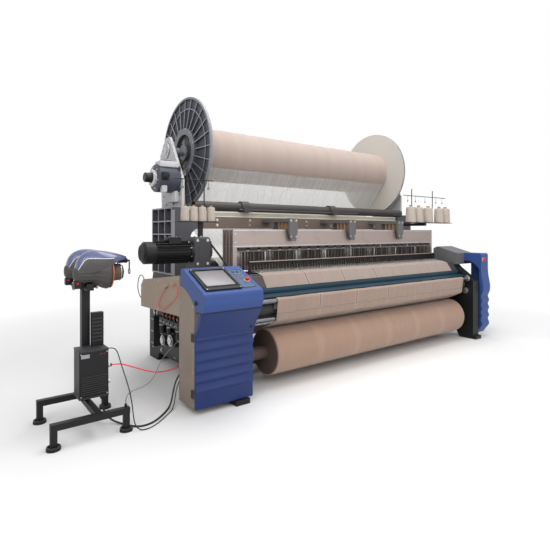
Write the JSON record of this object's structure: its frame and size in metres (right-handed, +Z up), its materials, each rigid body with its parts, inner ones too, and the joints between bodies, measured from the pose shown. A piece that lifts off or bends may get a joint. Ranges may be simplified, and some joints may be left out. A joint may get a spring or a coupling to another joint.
{
  "type": "power loom",
  "caption": "Air-jet terry loom with a raised pile beam, heald frames, reed, cloth roll, control cabinet and a free-standing weft feeder stand.",
  "frame": {"origin": "middle of the floor rectangle under the loom and its feeder stand", "axes": "+X along the weaving width to the weaver's right, +Y from the weaver to the back, +Z up"},
  "size_m": [5.691, 2.391, 2.999],
  "materials": {
    "frame_black": "black machine enamel",
    "beam_grey": "brown-grey machine enamel",
    "breast_grey": "grey machine enamel",
    "strip_teal": "teal enamel",
    "cloth_taupe": "woven terry cloth",
    "yarn_taupe": "wound yarn",
    "yarn_white": "warp yarn",
    "rubber_roller": "ribbed rubber covering",
    "bright_steel": "ground steel",
    "sley_alloy": "satin aluminium",
    "reed_steel": "fine steel dents",
    "heald_alloy": "anodised aluminium",
    "slat_wood": "plain brown wood",
    "bracket_grey": "grey enamel",
    "plate_grey": "light grey enamel",
    "flange_slate": "slate enamel on ribbed alloy",
    "motor_black": "black enamel",
    "letoff_slate": "slate enamel",
    "gearbox_grey": "dark grey enamel",
    "case_beige": "beige sheet metal",
    "hood_blue": "moulded blue plastic",
    "door_blue": "moulded dark blue plastic",
    "screen_black": "black bezel with a grey screen",
    "key_teal": "membrane key film",
    "collar_pale": "pale collar",
    "mushroom_red": "red plastic",
    "hump_grey": "dark grey moulding",
    "unit_black": "black blocks with grey caps",
    "cone_cream": "wound cream yarn",
    "wire_black": "black wire and tray",
    "stand_black": "black enamel",
    "controller_black": "black housing",
    "feeder_grey": "ribbed grey housing",
    "disc_grey": "grey disc",
    "tube_red": "red polyurethane tube",
    "cable_grey": "grey cable sheath",
    "cable_black": "black cable sheath"
  },
  "bodies": {
    "machine": {"side_frame_left": "frame_black", "side_frame_right": "frame_black", "cross_beams": "frame_black", "breast_beam": "breast_grey", "guard_strip": "strip_teal", "cloth_upper": "cloth_taupe", "cloth_lower": "cloth_taupe", "cloth_rods": "bright_steel", "heald_guides": "slat_wood", "guide_brackets": "bracket_grey", "beam_stands": "frame_black", "top_girder": "beam_grey", "bearing_plates": "plate_grey", "ground_sheet": "yarn_white", "pile_sheet": "yarn_white", "tension_tube": "gearbox_grey", "letoff_motor": "letoff_slate", "shedding_motor": "motor_black", "shedding_gearbox": "gearbox_grey", "cabinet_case": "case_beige", "cabinet_hood": "hood_blue", "touch_screen": "screen_black", "key_plate": "key_teal", "estop_collars": "collar_pale", "cover_right": "hood_blue", "cover_hump": "hump_grey", "guard_box": "case_beige", "air_unit": "unit_black", "yarn_cones": "cone_cream", "cone_stands": "wire_black", "feeder_stand": "stand_black", "feeder_controller": "controller_black", "weft_feeders": "feeder_grey", "red_air_tube": "tube_red", "signal_cable": "cable_grey", "stand_cable": "cable_grey", "floor_cable": "cable_black", "motor_hose": "cable_black", "air_loop": "tube_red"},
    "pile_roll": {"pile_flanges": "flange_slate", "pile_barrel": "bright_steel", "pile_warp": "yarn_taupe"},
    "ground_roll": {"ground_beam": "flange_slate", "ground_warp": "yarn_white"},
    "rest_roller": {"back_rest": "bright_steel"},
    "guide_roller": {"pile_guide": "bright_steel"},
    "takeup": {"takeup_roller": "rubber_roller"},
    "cloth_beam": {"cloth_core": "bright_steel", "cloth_roll": "cloth_taupe"},
    "sley_swing": {"sley": "sley_alloy", "reed": "reed_steel"},
    "heald_1": {"heald_frame_1": "heald_alloy"},
    "heald_2": {"heald_frame_2": "heald_alloy"},
    "heald_3": {"heald_frame_3": "heald_alloy"},
    "heald_4": {"heald_frame_4": "heald_alloy"},
    "door": {"cabinet_door": "door_blue"},
    "stop_left": {"estop_left": "mushroom_red"},
    "stop_right": {"estop_right": "mushroom_red"},
    "disc_front": {"winding_disc_front": "disc_grey"},
    "disc_rear": {"winding_disc_rear": "disc_grey"}
  },
  "joints": [
    {"name": "pile_spin", "type": "hinge", "parent": "machine", "child": "pile_roll", "pos_m": [0.5035, 0.567, 2.37103], "axis": [1, 0, 0], "continuous": true},
    {"name": "ground_spin", "type": "hinge", "parent": "machine", "child": "ground_roll", "pos_m": [0.5035, 0.687, 0.56], "axis": [1, 0, 0], "continuous": true},
    {"name": "back_rest_spin", "type": "hinge", "parent": "machine", "child": "rest_roller", "pos_m": [0.5035, 0.497, 1.085], "axis": [1, 0, 0], "continuous": true},
    {"name": "pile_guide_spin", "type": "hinge", "parent": "machine", "child": "guide_roller", "pos_m": [0.5035, 0.651, 1.64], "axis": [1, 0, 0], "continuous": true},
    {"name": "takeup_spin", "type": "hinge", "parent": "machine", "child": "takeup", "pos_m": [0.5035, -0.823, 0.74], "axis": [1, 0, 0], "continuous": true},
    {"name": "cloth_spin", "type": "hinge", "parent": "machine", "child": "cloth_beam", "pos_m": [0.5035, -0.751, 0.311], "axis": [1, 0, 0], "continuous": true},
    {"name": "sley_rock", "type": "hinge", "parent": "machine", "child": "sley_swing", "pos_m": [0.5035, -0.433, 0.47], "axis": [1, 0, 0], "range_deg": [0, 8]},
    {"name": "heald_1_lift", "type": "slide", "parent": "machine", "child": "heald_1", "axis": [0, 0, 1], "range_m": [-0.045, 0.045]},
    {"name": "heald_2_lift", "type": "slide", "parent": "machine", "child": "heald_2", "axis": [0, 0, 1], "range_m": [-0.045, 0.045]},
    {"name": "heald_3_lift", "type": "slide", "parent": "machine", "child": "heald_3", "axis": [0, 0, 1], "range_m": [-0.045, 0.045]},
    {"name": "heald_4_lift", "type": "slide", "parent": "machine", "child": "heald_4", "axis": [0, 0, 1], "range_m": [-0.045, 0.045]},
    {"name": "door_swing", "type": "hinge", "parent": "machine", "child": "door", "pos_m": [-1.822, -1.017, 0.4], "axis": [0, 0, -1], "range_deg": [0, 100]},
    {"name": "stop_left_press", "type": "slide", "parent": "machine", "child": "stop_left", "axis": [0, 0.4104, -0.9119], "range_m": [0, 0.006], "stiffness_N_per_m": 400},
    {"name": "stop_right_press", "type": "slide", "parent": "machine", "child": "stop_right", "axis": [0, 1, 0], "range_m": [0, 0.006], "stiffness_N_per_m": 400},
    {"name": "disc_front_spin", "type": "hinge", "parent": "machine", "child": "disc_front", "pos_m": [0.5035, -0.633, 1.135], "axis": [1, 0, 0], "continuous": true},
    {"name": "disc_rear_spin", "type": "hinge", "parent": "machine", "child": "disc_rear", "pos_m": [0.5035, -0.333, 1.135], "axis": [1, 0, 0], "continuous": true}
  ],
  "couplings": [
    {"joint": "cloth_spin", "follows": "takeup_spin", "ratio": 0.357}
  ]
}
